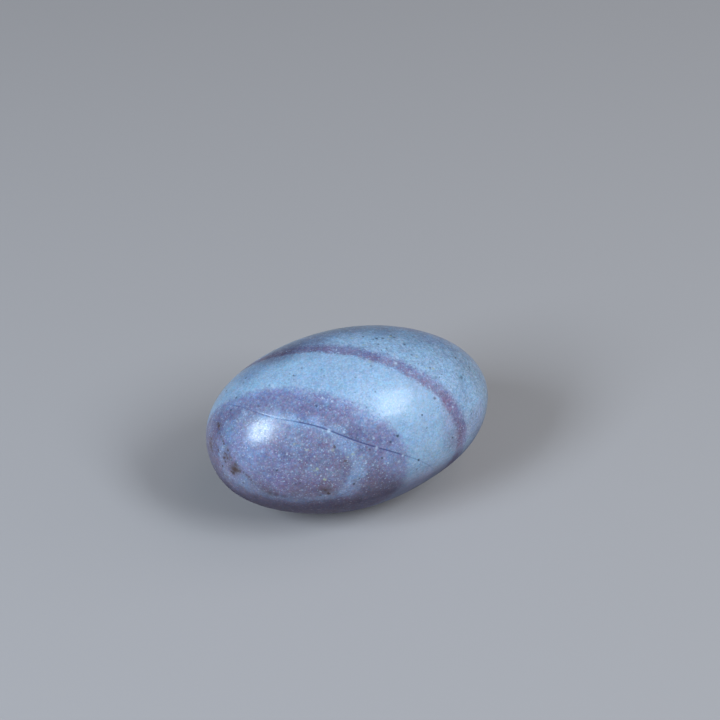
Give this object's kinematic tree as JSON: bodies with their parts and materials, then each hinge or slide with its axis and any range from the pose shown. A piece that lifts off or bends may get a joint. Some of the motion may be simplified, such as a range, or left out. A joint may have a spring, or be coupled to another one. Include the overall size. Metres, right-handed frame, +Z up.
{
  "type": "shiva lingam stone",
  "caption": "Egg-shaped polished river stone, banded blue-grey and purple, with a healed crack, lying on its side.",
  "frame": {"origin": "on the surface that the stone lies on, under the middle of its box", "axes": "+X along the stone's long axis, towards its plain blue-grey end; +Z up; the healed crack faces -Y, the front"},
  "size_m": [0.0498, 0.0312, 0.0298],
  "materials": {
    "stone": "semi-polished, waxy, with blue-grey and purple layers, pale quartz grains and small dark specks"
  },
  "bodies": {
    "root": {"stone": "stone"}
  },
  "joints": []
}
